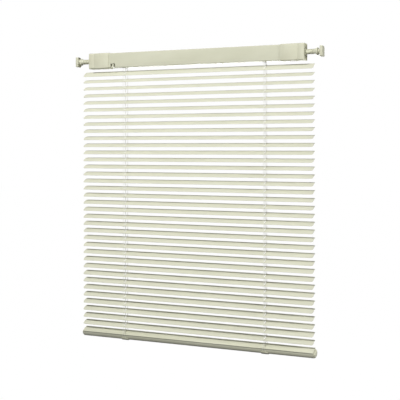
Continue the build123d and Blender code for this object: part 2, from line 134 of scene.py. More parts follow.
class Graph:
    """The node tree of one new material or world."""

    def __init__(self, owner: bpy.types.Material | bpy.types.World) -> None:
        """Start with an empty tree.

        Args:
            owner: The material or world.
        """
        owner.use_nodes = True
        self.owner = owner
        self.tree = owner.node_tree
        self.tree.nodes.clear()

    def node(
        self,
        kind: str,
        settings: dict[str, object] | None = None,
        inputs: dict[str | int, object] | None = None,
        output: str | int = 0,
    ) -> Value:
        """Add one node.

        Args:
            kind: The node's type name.
            settings: Properties of the node.
            inputs: Numbers, colours, vectors or values for its sockets.
            output: The socket that the returned value stands for.

        Returns:
            The chosen output, ready for expressions.
        """
        made = self.tree.nodes.new(kind)
        for key, setting in (settings or {}).items():
            setattr(made, key, setting)
        for key, given in (inputs or {}).items():
            if isinstance(given, Value):
                self.tree.links.new(given.socket, made.inputs[key])
            else:
                made.inputs[key].default_value = given
        return Value(self, made.outputs[output] if made.outputs else None)

    def place(self, scale: Point = (1, 1, 1)) -> Value:
        """Object coordinates, with a factor on each axis; a small one draws a pattern out."""
        coordinates = self.node("ShaderNodeTexCoord", output="Object")
        return self.node("ShaderNodeMapping", inputs={"Vector": coordinates, "Scale": scale})

    def noise(self, scale: float, detail: float, stretch: Point = (1, 1, 1)) -> Value:
        """Smooth noise from 0 to 1, with its cells to a metre, its finer layers and its axes' factors."""
        inputs = {"Vector": self.place(stretch), "Scale": scale, "Detail": detail}
        return self.node("ShaderNodeTexNoise", inputs=inputs)

    def spread(self, value: Value, low: float, high: float, to_low: float, to_high: float) -> Value:
        """Map one range of a value onto another range, clamped."""
        inputs = {"Value": value, "From Min": low, "From Max": high, "To Min": to_low, "To Max": to_high}
        return self.node("ShaderNodeMapRange", inputs=inputs)

    def tint(self, value: Value, low: float, high: float, first: str, second: str) -> Value:
        """Fade from one hexadecimal display colour to another as a value crosses a range."""
        share = self.spread(value, low, high, 0, 1)
        return self.node("ShaderNodeMix", {"data_type": "RGBA"}, {0: share, 6: linear(first), 7: linear(second)}, 2)

    def bump(self, height: Value, depth: float) -> Value:
        """Turn a height from 0 to 1 into a normal, with so many metres of relief."""
        return self.node("ShaderNodeBump", inputs={"Height": height, "Distance": depth, "Strength": 1.0})

    def seen(self) -> Value:
        """One for rays that should meet a white background: from the camera, glossy or transmitted.

        Returns:
            1 for such a ray and 0 for any other.
        """
        path = self.node("ShaderNodeLightPath").socket.node
        camera, glossy, through = (
            Value(self, path.outputs[f"Is {kind} Ray"]) for kind in ("Camera", "Glossy", "Transmission")
        )
        return camera.larger(glossy).larger(through)

    def cover(self, shader: Value, kind: str = "ShaderNodeOutputMaterial") -> None:
        """Put a shader on the tree's output node, of the given kind."""
        self.node(kind, inputs={"Surface": shader})


# Finishes


@dataclass(frozen=True)
class Finish:
    """A material made of two hexadecimal display colours."""

    name: str
    shade: str
    second: str

    def sockets(self, graph: Graph) -> dict[str, object]:
        """What goes into the main shader's sockets, by name; each finish says it."""
        raise NotImplementedError

    def material(self) -> bpy.types.Material:
        """Build the material.

        Returns:
            The finished material.
        """
        graph = Graph(bpy.data.materials.new(self.name))
        graph.cover(graph.node("ShaderNodeBsdfPrincipled", inputs=self.sockets(graph)))
        return graph.owner


@dataclass(frozen=True)
class Enamel(Finish):
    """Baked enamel on rolled steel: smooth, with faint orange peel and cloudy tint."""

    roughness: float = 0.42
    peel_depth: float = 0.000012
    cloud_scale: float = 9
    peel_scale: float = 900
    streak_scale: float = 240

    def sockets(self, graph: Graph) -> dict[str, object]:
        """The enamel's values and constants.

        Args:
            graph: The graph that the nodes are added to.

        Returns:
            What goes into the main shader's sockets.
        """
        clouds = graph.noise(self.cloud_scale, 3, (1, 3, 3))
        peel = graph.noise(self.peel_scale, 1)
        streaks = graph.noise(self.streak_scale, 2, (0.06, 1, 1))
        return {
            "Base Color": graph.tint(clouds, 0.35, 0.65, self.shade, self.second),
            "Roughness": graph.spread(streaks, 0.3, 0.7, self.roughness - 0.05, self.roughness + 0.07),
            "Specular IOR Level": SOFT_SPECULAR,
            "Normal": graph.bump(peel * 0.7 + streaks * 0.3, self.peel_depth),
        }


@dataclass(frozen=True)
class Moulding(Finish):
    """Moulded plastic: satin, finely grained, slightly uneven in tint."""

    roughness: float = 0.46
    grain_depth: float = 0.00002
    grain_scale: float = 1500
    cloud_scale: float = 35

    def sockets(self, graph: Graph) -> dict[str, object]:
        """The plastic's values and constants.

        Args:
            graph: The graph that the nodes are added to.

        Returns:
            What goes into the main shader's sockets.
        """
        clouds = graph.noise(self.cloud_scale, 3)
        grain = graph.noise(self.grain_scale, 2)
        return {
            "Base Color": graph.tint(clouds, 0.3, 0.7, self.shade, self.second),
            "Roughness": graph.spread(clouds + grain * 0.5, 0.5, 1.0, self.roughness - 0.06, self.roughness + 0.06),
            "Specular IOR Level": SOFT_SPECULAR,
            "Normal": graph.bump(grain, self.grain_depth),
        }


@dataclass(frozen=True)
class ExtrudedVinyl(Finish):
    """Extruded vinyl: faint draw lines along X and a soft sheen."""

    roughness: float = 0.44
    line_depth: float = 0.000012
    line_scale: float = 700
    cloud_scale: float = 14

    def sockets(self, graph: Graph) -> dict[str, object]:
        """The vinyl's values and constants.

        Args:
            graph: The graph that the nodes are added to.

        Returns:
            What goes into the main shader's sockets.
        """
        lines = graph.noise(self.line_scale, 2, (0.015, 1, 1))
        clouds = graph.noise(self.cloud_scale, 2, (0.5, 2, 2))
        return {
            "Base Color": graph.tint(lines * 0.5 + clouds * 0.5, 0.38, 0.62, self.shade, self.second),
            "Roughness": graph.spread(lines, 0.3, 0.7, self.roughness - 0.05, self.roughness + 0.08),
            "Specular IOR Level": SOFT_SPECULAR,
            "Normal": graph.bump(lines, self.line_depth),
        }


@dataclass(frozen=True)
class Braid(Finish):
    """Polyester braid: slanting plaits along the cord, matt, with painted shade darkening the valleys between the
    plaits.
    """

    plait: float = 0.0011
    plait_depth: float = 0.00008

    def _waves(self, graph: Graph, way: int) -> Value:
        """Slanting waves, for the plaits of one way.

        Args:
            graph: The graph that the nodes are added to.
            way: 1 or -1, for the side that they slant to.

        Returns:
            The waves, from 0 to 1.
        """
        settings = {"wave_type": "BANDS", "bands_direction": "DIAGONAL"}
        inputs = {"Vector": graph.place((way, way, 0.5)), "Scale": 0.35 / self.plait}
        return graph.node("ShaderNodeTexWave", settings, inputs, output=1)

    def sockets(self, graph: Graph) -> dict[str, object]:
        """The braid's values and constants.

        Args:
            graph: The graph that the nodes are added to.

        Returns:
            What goes into the main shader's sockets.
        """
        plait = self._waves(graph, 1) * self._waves(graph, -1)
        return {
            # Painted shade: the valleys between the plaits, low in the bump, get the darker second colour.
            "Base Color": graph.tint(plait, 0, 0.6, self.second, self.shade),
            "Roughness": graph.spread(plait, 0, 1, 0.85, 0.7),
            "Normal": graph.bump(plait, self.plait_depth),
        }


@dataclass(frozen=True)
class DrawnSteel(Finish):
    """Zinc-plated drawn bar: metallic, with fine lines along X."""

    line_scale: float = 1400
    bloom_scale: float = 60
    line_depth: float = 0.00002

    def sockets(self, graph: Graph) -> dict[str, object]:
        """The steel's values and constants.

        Args:
            graph: The graph that the nodes are added to.

        Returns:
            What goes into the main shader's sockets.
        """
        lines = graph.noise(self.line_scale, 3, (0.02, 1, 1))
        bloom = graph.noise(self.bloom_scale, 3)
        return {
            "Base Color": graph.tint(bloom, 0.4, 0.65, self.shade, self.second),
            "Metallic": graph.spread(bloom, 0.4, 0.8, 1.0, 0.85),
            "Roughness": graph.spread(lines + bloom, 0.7, 1.3, 0.3, 0.5),
            "Normal": graph.bump(lines, self.line_depth),
        }


@dataclass(frozen=True)
class Elastomer(Finish):
    """Soft pad: matt, finely pitted, with painted shade darkening the pits."""

    pit_scale: float = 2200
    pit_depth: float = 0.00006

    def sockets(self, graph: Graph) -> dict[str, object]:
        """The elastomer's values and constants.

        Args:
            graph: The graph that the nodes are added to.

        Returns:
            What goes into the main shader's sockets.
        """
        pits = graph.noise(self.pit_scale, 3)
        return {
            # Painted shade: the pits, low in the bump, get the darker second colour.
            "Base Color": graph.tint(pits, 0.35, 0.6, self.second, self.shade),
            "Roughness": graph.spread(pits, 0.3, 0.7, 0.78, 0.68),
            "Normal": graph.bump(pits, self.pit_depth),
        }


FINISHES = {finish.name.replace(" ", "_"): finish for finish in (
    Enamel("headrail enamel", "d1d1bc", "cbcbb5"),
    Moulding("ivory plastic", "d4d4be", "cecdb6"),
    Moulding("screw plastic", "dcdcc8", "d3d3bc", 0.4),
    # The soft pad's second colour is painted shade for its pits.
    Elastomer("soft pad", "cfcfbb", "b9b9a4"),
    Moulding("mechanism plastic", "e6e6dc", "dedfd2", 0.38),
    Moulding("hook plastic", "dcdcca", "d2d2bd", 0.32),
    Moulding("gear plastic", "e8e6d8", "dddbc9", 0.35),
    DrawnSteel("rod steel", "b9bcbd", "9a9d9c"),
    Moulding("motor plastic", "d9d9cf", "cfcfc4", 0.5),
    # The braids' second colour is painted shade for the valleys between their plaits.
    Braid("ladder cord", "fbfbf6", "e2e2d8", 0.0008),
    Braid("lift cord", "fbfbf6", "e2e2d8", 0.0012),
    ExtrudedVinyl("rail vinyl", "d8d8c4", "d2d2bc"),
    ExtrudedVinyl("slat vinyl", "d9d9c7", "d3d3c0", 0.5),
)}


class Paintbox:
    """Keeps one material for each slot and gives it to pieces and CAD nodes."""

    def __init__(self) -> None:
        """Start with no material made."""
        self.made: dict[str, bpy.types.Material] = {}

    def material(self, slot: str) -> bpy.types.Material:
        """The material of a slot, built when it is first asked for.

        Args:
            slot: The record's material slot.

        Returns:
            The material.
        """
        if slot not in self.made:
            self.made[slot] = FINISHES[slot].material()
        return self.made[slot]

    def dress_node(self, node: str, slot: str) -> None:
        """Give a CAD node its finish.

        Args:
            node: The node's name.
            slot: The record's material slot.
        """
        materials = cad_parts[node].data.materials
        if not materials:
            materials.append(None)
        for index in range(len(materials)):
            materials[index] = self.material(slot)

    def dress_piece(self, piece: Piece, slot: str, body: str | None) -> Piece:
        """Give a new piece its finish and its body.

        Args:
            piece: The new object.
            slot: The record's material slot.
            body: The CAD body that carries it, or None for a piece that bends between two.

        Returns:
            The same object.
        """
        piece.data.materials.clear()
        piece.data.materials.append(self.material(slot))
        if body:
            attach(piece, body)
        log.info("piece %s on %s, %d faces", piece.name, body or "two bodies", len(piece.data.polygons))
        return piece


# Modelling


def add(name: str, data: bpy.types.ID) -> Piece:
    """Put a new object into the scene.

    Args:
        name: Its name.
        data: Its mesh, curve, camera or lamp.

    Returns:
        The object.
    """
    made = bpy.data.objects.new(name, data)
    bpy.context.scene.collection.objects.link(made)
    return made


class Bench:
    """Modelling steps on the active object, as by hand."""

    @staticmethod
    def clear() -> None:
        """Deselect everything."""
        if bpy.context.object and bpy.context.object.mode != "OBJECT":
            bpy.ops.object.mode_set(mode="OBJECT")
        bpy.ops.object.select_all(action="DESELECT")

    @staticmethod
    def leave() -> None:
        """Leave edit mode."""
        bpy.ops.object.mode_set(mode="OBJECT")

    @classmethod
    def pick(cls, *pieces: Piece) -> None:
        """Select only these objects and make the first one active.

        Args:
            *pieces: The objects.
        """
        cls.clear()
        for piece in pieces:
            piece.select_set(True)
        bpy.context.view_layer.objects.active = pieces[0]

    @classmethod
    def settle(cls, piece: Piece) -> Piece:
        """Move a piece's place, turn and size into its mesh.

        Args:
            piece: The object.

        Returns:
            The same object.
        """
        cls.pick(piece)
        bpy.ops.object.transform_apply(location=True, rotation=True, scale=True)
        return piece

    @classmethod
    def block(cls, name: str, size: Point, centre: Point) -> Piece:
        """A box as the start of a piece.

        Args:
            name: The new object's name.
            size: Its length along each axis.
            centre: Its middle.

        Returns:
            The box.
        """
        cls.clear()
        bpy.ops.mesh.primitive_cube_add(size=1, location=centre)
        made = bpy.context.object
        made.name = name
        made.scale = size
        return cls.settle(made)

    @classmethod
    def edit(
        cls, piece: Piece, mode: str = "FACE", test: Callable[..., bool] | None = None
    ) -> None:
        """Enter edit mode with the vertices, edges or faces selected that pass a test.

        Args:
            piece: The object to edit.
            mode: VERT, EDGE or FACE.
            test: Takes the mesh element and says whether it is selected; without it all are.
        """
        cls.pick(piece)
        bpy.ops.object.mode_set(mode="EDIT")
        bpy.ops.mesh.select_mode(type=mode)
        bpy.ops.mesh.select_all(action="DESELECT")
        mesh = bmesh.from_edit_mesh(piece.data)
        group = {"VERT": mesh.verts, "EDGE": mesh.edges, "FACE": mesh.faces}[mode]
        for element in group:
            if test is None or test(element):
                element.select_set(True)
        bmesh.update_edit_mesh(piece.data)

    @staticmethod
    def close(distance: float = 0.0) -> None:
        """Turn the faces of the edited mesh outwards and leave edit mode.

        Args:
            distance: How close vertices are merged first, if at all.
        """
        bpy.ops.mesh.select_all(action="SELECT")
        if distance:
            bpy.ops.mesh.remove_doubles(threshold=distance)
            bpy.ops.mesh.select_all(action="SELECT")
        bpy.ops.mesh.normals_make_consistent(inside=False)
        Bench.leave()

    @classmethod
    def bevel(cls, piece: Piece, test: Callable[..., bool], width: float, steps: int) -> None:
        """Round edges.

        Args:
            piece: The object.
            test: Says whether an edge is rounded.
            width: How far from the edge the rounding starts.
            steps: Faces across the rounding.
        """
        cls.edit(piece, "EDGE", test)
        bpy.ops.mesh.bevel(offset=width, segments=steps, profile=0.5, affect="EDGES")
        cls.leave()

    @classmethod
    def apply(cls, piece: Piece, kind: str, **settings: object) -> None:
        """Add a modifier and apply it.

        Args:
            piece: The object.
            kind: The modifier's type.
            **settings: Its properties.
        """
        cls.pick(piece)
        modifier = piece.modifiers.new(kind.lower(), kind)
        for key, setting in settings.items():
            setattr(modifier, key, setting)
        bpy.ops.object.modifier_apply(modifier=modifier.name)

    @classmethod
    def ease(cls, piece: Piece, width: float, angle: float) -> None:
        """Round every edge that is sharper than an angle in degrees, by a width on each side."""
        cls.apply(piece, "BEVEL", width=width, segments=2, limit_method="ANGLE", angle_limit=radians(angle))

    @classmethod
    def cut(cls, piece: Piece, tool: Piece, operation: str) -> None:
        """Apply a boolean with a tool, DIFFERENCE or INTERSECT, and remove the tool."""
        cls.apply(piece, "BOOLEAN", operation=operation, object=tool, solver="EXACT")
        bpy.data.objects.remove(tool, do_unlink=True)

    @classmethod
    def trail(cls, name: str, ends: Sequence[Point], line: Sequence[Point] = ()) -> Piece:
        """Start a piece with a point or an edge and extrude it step by step. It stays in edit mode.

        Args:
            name: The new object's name.
            ends: The point, or the two ends of the edge.
            line: Points to extrude along; only the steps between them count.

        Returns:
            The new object.
        """
        cls.clear()
        bpy.ops.mesh.primitive_plane_add(size=1)
        made = bpy.context.object
        made.name = name
        cls.edit(made, "VERT", lambda vert: vert.index >= len(ends))
        bpy.ops.mesh.delete(type="VERT")
        mesh = bmesh.from_edit_mesh(made.data)
        for vert, place in zip(mesh.verts[:], ends):
            vert.co = place
        for element in (*mesh.verts, *mesh.edges):
            element.select_set(True)
        bmesh.update_edit_mesh(made.data)
        for before, after in zip(line, line[1:]):
            step = [new - old for old, new in zip(before, after)]
            bpy.ops.mesh.extrude_region_move(TRANSFORM_OT_translate={"value": step})
        return made

    @classmethod
    def revolve(cls, name: str, profile: Sequence[Pair], steps: int = 40) -> Piece:
        """Spin a profile of (X, radius) points about the X axis.

        Args:
            name: The new object's name.
            profile: Points from one end of the piece to the other.
            steps: Faces round the axis.

        Returns:
            The closed piece.
        """
        line = [(x, 0, radius) for x, radius in profile]
        made = cls.trail(name, line[:1], line)
        bpy.ops.mesh.select_all(action="SELECT")
        bpy.ops.mesh.spin(steps=steps, angle=2 * pi, center=(0, 0, 0), axis=(1, 0, 0))
        cls.close(TOUCH)
        return made

    @classmethod
    def join(cls, name: str, pieces: Sequence[Piece]) -> Piece:
        """Make one object of several.

        Args:
            name: Its name.
            pieces: The objects.

        Returns:
            The joined object.
        """
        cls.pick(*pieces)
        if len(pieces) > 1:
            bpy.ops.object.join()
        pieces[0].name = name
        return pieces[0]

    @staticmethod
    def copy(piece: Piece, name: str, move: Matrix) -> Piece:
        """Copy a piece with its own mesh, its faces kept outwards.

        Args:
            piece: The object.
            name: The copy's name.
            move: What takes the mesh to its place.

        Returns:
            The copy.
        """
        made = add(name, piece.data.copy())
        made.data.transform(move)
        if move.determinant() < 0:
            made.data.flip_normals()
        made.data.update()
        return made

    @classmethod
    def put(cls, piece: Piece, name: str, move: Matrix) -> Piece:
        """Replace a piece by its copy in its place.

        Args:
            piece: The object.
            name: The placed one's name.
            move: What takes the mesh to its place.

        Returns:
            The placed object.
        """
        made = cls.copy(piece, name, move)
        bpy.data.objects.remove(piece, do_unlink=True)
        return made

    @classmethod
    def soften(cls, node: str, name: str, width: float) -> Piece:
        """Copy a CAD node and round its sharp edges.

        Args:
            node: The CAD node.
            name: The copy's name.
            width: How far from an edge its rounding starts.

        Returns:
            The rounded copy.
        """
        made = add(name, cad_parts[node].data.copy())
        cls.edit(made)
        bpy.ops.mesh.remove_doubles(threshold=WELD)
        bpy.ops.mesh.dissolve_limited(angle_limit=radians(1))
        cls.leave()
        cls.ease(made, width, 40)
        return cls.smooth(made, 30)

    @classmethod
    def smooth(cls, piece: Piece, angle: float) -> Piece:
        """Shade smooth, apart from sharp edges.

        Args:
            piece: The object.
            angle: In degrees; edges sharper than this stay sharp.

        Returns:
            The same object.
        """
        cls.pick(piece)
        bpy.ops.object.shade_smooth_by_angle(angle=radians(angle))
        return piece

    @classmethod
    def cord(cls, name: str, route: Sequence[Point], diameter: float, rings: int = 3) -> Piece:
        """A round cord along a smooth line near a route of points, as a closed mesh.

        Args:
            name: The new object's name.
            route: The line's control points.
            diameter: The cord's thickness.
            rings: Bevel resolution; 3 gives a section of ten sides.

        Returns:
            The mesh object.
        """
        curve = bpy.data.curves.new(name, "CURVE")
        curve.dimensions = "3D"
        curve.bevel_depth = diameter / 2
        curve.bevel_resolution = rings
        curve.use_fill_caps = True
        curve.resolution_u = 6
        spline = curve.splines.new("NURBS")
        spline.points.add(len(route) - 1)
        for point, place in zip(spline.points, route):
            point.co = (*place, 1)
        spline.order_u = 3
        spline.use_endpoint_u = True
        cls.pick(add(name, curve))
        bpy.ops.object.convert(target="MESH")
        return bpy.context.object


# Sub-assemblies


@dataclass
class Headrail:
    """Channel and mechanism as they are; sleeves, end caps and tilter housing with rounded edges."""

    edge_round: float = 0.4 * MM
    softened: tuple[str, ...] = ("left_sleeve", "right_sleeve", "left_end_cap", "right_end_cap")
    slots: dict[str, str] = field(default_factory=lambda: {
        "headrail": "headrail_enamel",
        "tilt_rod": "rod_steel",
        "ladder_drums": "mechanism_plastic",
        "drum_cradles": "mechanism_plastic",
        "tilt_gear": "gear_plastic",
        "tilter_hook": "hook_plastic",
        "spring_motor": "motor_plastic",
    })
    tilter_x: float = -258 * MM
    pocket: Point = (14.0 * MM, 12.5 * MM, 12.0 * MM)
    pocket_back_y: float = -4.5 * MM
    pocket_top_z: float = -9.5 * MM

    def _housing(self) -> Piece:
        """The tilter's housing, open at the front round the stem.

        Returns:
            The opened copy of the CAD node.
        """
        housing = Bench.soften("tilter_housing", "tilter_housing_open", self.edge_round)
        _, deep, high = self.pocket
        middle = (self.tilter_x, self.pocket_back_y - deep / 2, self.pocket_top_z - high / 2)
        Bench.cut(housing, Bench.block("pocket", self.pocket, middle), "DIFFERENCE")
        return Bench.smooth(housing, 30)

    def build(self, paints: Paintbox) -> None:
        """Dress the nodes and build the rounded pieces.

        Args:
            paints: The materials.
        """
        for node, slot in self.slots.items():
            paints.dress_node(node, slot)
        for node in self.softened:
            piece = Bench.soften(node, f"{node}_rounded", self.edge_round)
            paints.dress_piece(piece, "ivory_plastic", "root")
            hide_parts(node)
        housing = paints.dress_piece(self._housing(), "mechanism_plastic", "root")
        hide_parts("tilter_housing")


@dataclass
class TensionScrew:
    """Threaded shank, flared collar, pivot, foot and pad at one end of the blind."""

    side: Side
    inner_x: float = 300 * MM
    collar_x: float = 366.5 * MM
    crest_radius: float = 7.2 * MM
    root_radius: float = 6.1 * MM
    pitch: float = 2.5 * MM
    flat_share: float = 0.18
    rise_share: float = 0.32
    thread_steps: int = 28
    core_gap: float = 0.2 * MM
    core_start: float = 0.4 * MM
    seat: float = 1.5 * MM
    flare: float = 7 * MM
    flare_curve: tuple[Pair, ...] = ((0.45, 8.1 * MM), (0.8, 9.5 * MM), (1.0, 10.3 * MM))
    collar_radius: float = 10.5 * MM
    face_x: float = 376.5 * MM
    pivot_radius: float = 4 * MM
    pivot_end: float = 381.9 * MM
    pivot_fit: float = 0.05 * MM
    edge_round: float = 0.8 * MM
    foot_inner: float = 382.9 * MM
    foot_outer: float = 389.4 * MM
    foot_height: float = 30 * MM
    foot_depth: float = 21 * MM
    foot_slant: float = 6 * MM
    foot_corner: float = 3 * MM
    inner_round: float = 1.6 * MM
    outer_round: float = 0.6 * MM
    cup_radius: float = 6.4 * MM
    cup_length: float = 6 * MM
    cup_floor: float = 0.6 * MM
    cup_lip: float = 0.3 * MM
    bell: tuple[Pair, ...] = in_mm(
        (0, -0.5), (0.15, -0.15), (0.6, 0), (2, 0.15), (3.2, 0.6), (4.2, 1.3), (5, 2.2), (5.6, 3.2), (6.3, 3.7)
    )
    pad_thickness: float = 2 * MM
    pad_margin: float = 0.8 * MM
    pad_ribs: int = 6
    rib_relief: float = 0.6 * MM
    rib_sink: float = 0.3 * MM
    rib_margin: float = 0.4 * MM
    rib_share: float = 0.62
    pad_slant_share: float = 0.93
    pad_round: float = 0.25 * MM

    def _thread(self) -> Piece:
        """One long thread, from one turn of its profile and the Screw modifier.

        Returns:
            The piece, at the right-hand end.
        """
        turns = round((self.collar_x - self.inner_x) / self.pitch)
        flat = self.pitch * self.flat_share
        rise = self.pitch * self.rise_share
        root, crest = self.root_radius, self.crest_radius
        profile = [(0, root), (flat, root), (flat + rise, crest), (2 * flat + rise, crest), (self.pitch, root)]
        line = [(x, 0, radius) for x, radius in profile]
        made = Bench.trail("thread", line[:1], line)
        Bench.leave()
        steps = {"steps": self.thread_steps, "render_steps": self.thread_steps, "iterations": turns - 1}
        merge = {"use_merge_vertices": True, "merge_threshold": WELD}
        Bench.apply(made, "SCREW", axis="X", angle=2 * pi, screw_offset=self.pitch, **steps, **merge)
        made.location.x = self.inner_x
        Bench.settle(made)
        Bench.edit(made)
        Bench.close(WELD)
        return made

    def _collar(self) -> Piece:
        """The core inside the thread, the flare, the collar's rim and the pivot.

        Returns:
            The piece, at the right-hand end.
        """
        core, crest, rim = self.root_radius - self.core_gap, self.crest_radius, self.collar_radius
        start, base, seat = self.inner_x + self.core_start, self.collar_x, self.collar_x - self.seat
        face, end, pivot, edge = self.face_x, self.pivot_end, self.pivot_radius, self.edge_round
        profile = [(start, 0), (start, core), (seat, core), (seat, crest), (base, crest)]
        profile += [(base + self.flare * share, radius) for share, radius in self.flare_curve]
        profile += [(base + self.flare + edge, rim), (face - edge, rim), (face - 0.25 * edge, rim - 0.3 * edge)]
        profile += [(face, rim - edge), (face, pivot), (end, pivot), (end, 0)]
        return Bench.revolve("collar", profile)

    @staticmethod
    def _slant(piece: Piece, depth: float, height: float, slant: float) -> None:
        """Cut off the upper rear edge at 45 degrees.

        Args:
            piece: The foot's plate or the pad.
            depth: Its size along Y.
            height: Its size along Z.
            slant: How far below its top the cut meets its rear.
        """
        Bench.edit(piece)
        bpy.ops.mesh.bisect(
            plane_co=(0, depth / 2, height / 2 - slant), plane_no=(0, 1, 1), use_fill=True, clear_outer=True
        )
        Bench.leave()

    def _foot(self) -> Piece:
        """The slanted plate with a bell-shaped cup on its inner face.

        Returns:
            The piece, at the right-hand end.
        """
        depth, height = self.foot_depth, self.foot_height
        inner, outer = self.foot_inner, self.foot_outer
        thick = outer - inner
        plate = Bench.block("plate", (thick, depth, height), ((inner + outer) / 2, 0, 0))
        self._slant(plate, depth, height, self.foot_slant)
        Bench.bevel(
            plate, lambda edge: abs((edge.verts[0].co - edge.verts[1].co).x) > 0.5 * thick, self.foot_corner, 5
        )
        for face_x, width, steps in ((inner, self.inner_round, 4), (outer, self.outer_round, 2)):
            Bench.bevel(
                plate, lambda edge: all(abs(vert.co.x - face_x) < TOUCH for vert in edge.verts), width, steps
            )
        mouth, bottom = inner - self.cup_length, inner - self.cup_floor
        bore, lip = self.pivot_radius + self.pivot_fit, self.cup_lip
        bell = [(mouth + along, self.cup_radius + beyond) for along, beyond in self.bell]
        profile = [(bottom, 0), (bottom, bore), (mouth + lip, bore), (mouth, bore + lip), *bell, (bell[-1][0], 0)]
        return Bench.join("foot", [plate, Bench.revolve("cup", profile)])

    def _pad(self) -> Piece:
        """The soft plate with cross ribs on its outer face.

        Returns:
            The piece, at the right-hand end.
        """
        depth = self.foot_depth - 2 * self.pad_margin
        height = self.foot_height - 2 * self.pad_margin
        base = self.pad_thickness - self.rib_relief
        plate = Bench.block("pad", (base, depth, height), (self.foot_outer + base / 2, 0, 0))
        pitch = height / self.pad_ribs
        size = (self.rib_relief + self.rib_sink, depth - self.rib_margin, pitch * self.rib_share)
        rib_x = self.foot_outer + base + (self.rib_relief - self.rib_sink) / 2
        ribs = [
            Bench.block("rib", size, (rib_x, 0, -height / 2 + pitch * (step + 0.5)))
            for step in range(self.pad_ribs)
        ]
        pad = Bench.join("pad", [plate, *ribs])
        self._slant(pad, depth, height, self.foot_slant * self.pad_slant_share)
        Bench.ease(pad, self.pad_round, 30)
        return pad

    def build(self, paints: Paintbox) -> None:
        """Build the screw, the foot and the pad of one side.

        Args:
            paints: The materials.
        """
        word = self.side.word
        if self.side is Side.RIGHT:
            turn = mirror = Matrix.Identity(4)
        else:
            turn = Matrix.Rotation(pi, 4, "Z")
            mirror = Matrix.Scale(-1, 4, (1, 0, 0))
        screw = Bench.join("screw", [self._thread(), self._collar()])
        for made, node, slot, body, move in (
            (screw, "screw", "screw_plastic", f"{word}_screw_shaft", turn),
            (self._foot(), "foot", "ivory_plastic", f"{word}_foot_carriage", mirror),
            (self._pad(), "pad", "soft_pad", f"{word}_foot_carriage", mirror),
        ):
            piece = Bench.smooth(Bench.put(made, f"{word}_{node}_detailed", move), 40)
            paints.dress_piece(piece, slot, body)
            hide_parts(f"{word}_{node}")


@dataclass
class Hanging:
    """What everything on the two ladders shares: their places and the tilt at rest in degrees."""

    ladder_x: float = 222.5 * MM
    string_y: float = 13.6 * MM
    tilt: float = 25.0

    @property
    def ladders(self) -> Pair:
        """The ladders' places along X."""
        return (-self.ladder_x, self.ladder_x)

    @staticmethod
    def hang(z: float, tilt: float) -> Matrix:
        """From a level piece about the origin to its height, tilted about X by degrees."""
        return Matrix.Translation((0, 0, z)) @ Matrix.Rotation(radians(tilt), 4, "X")


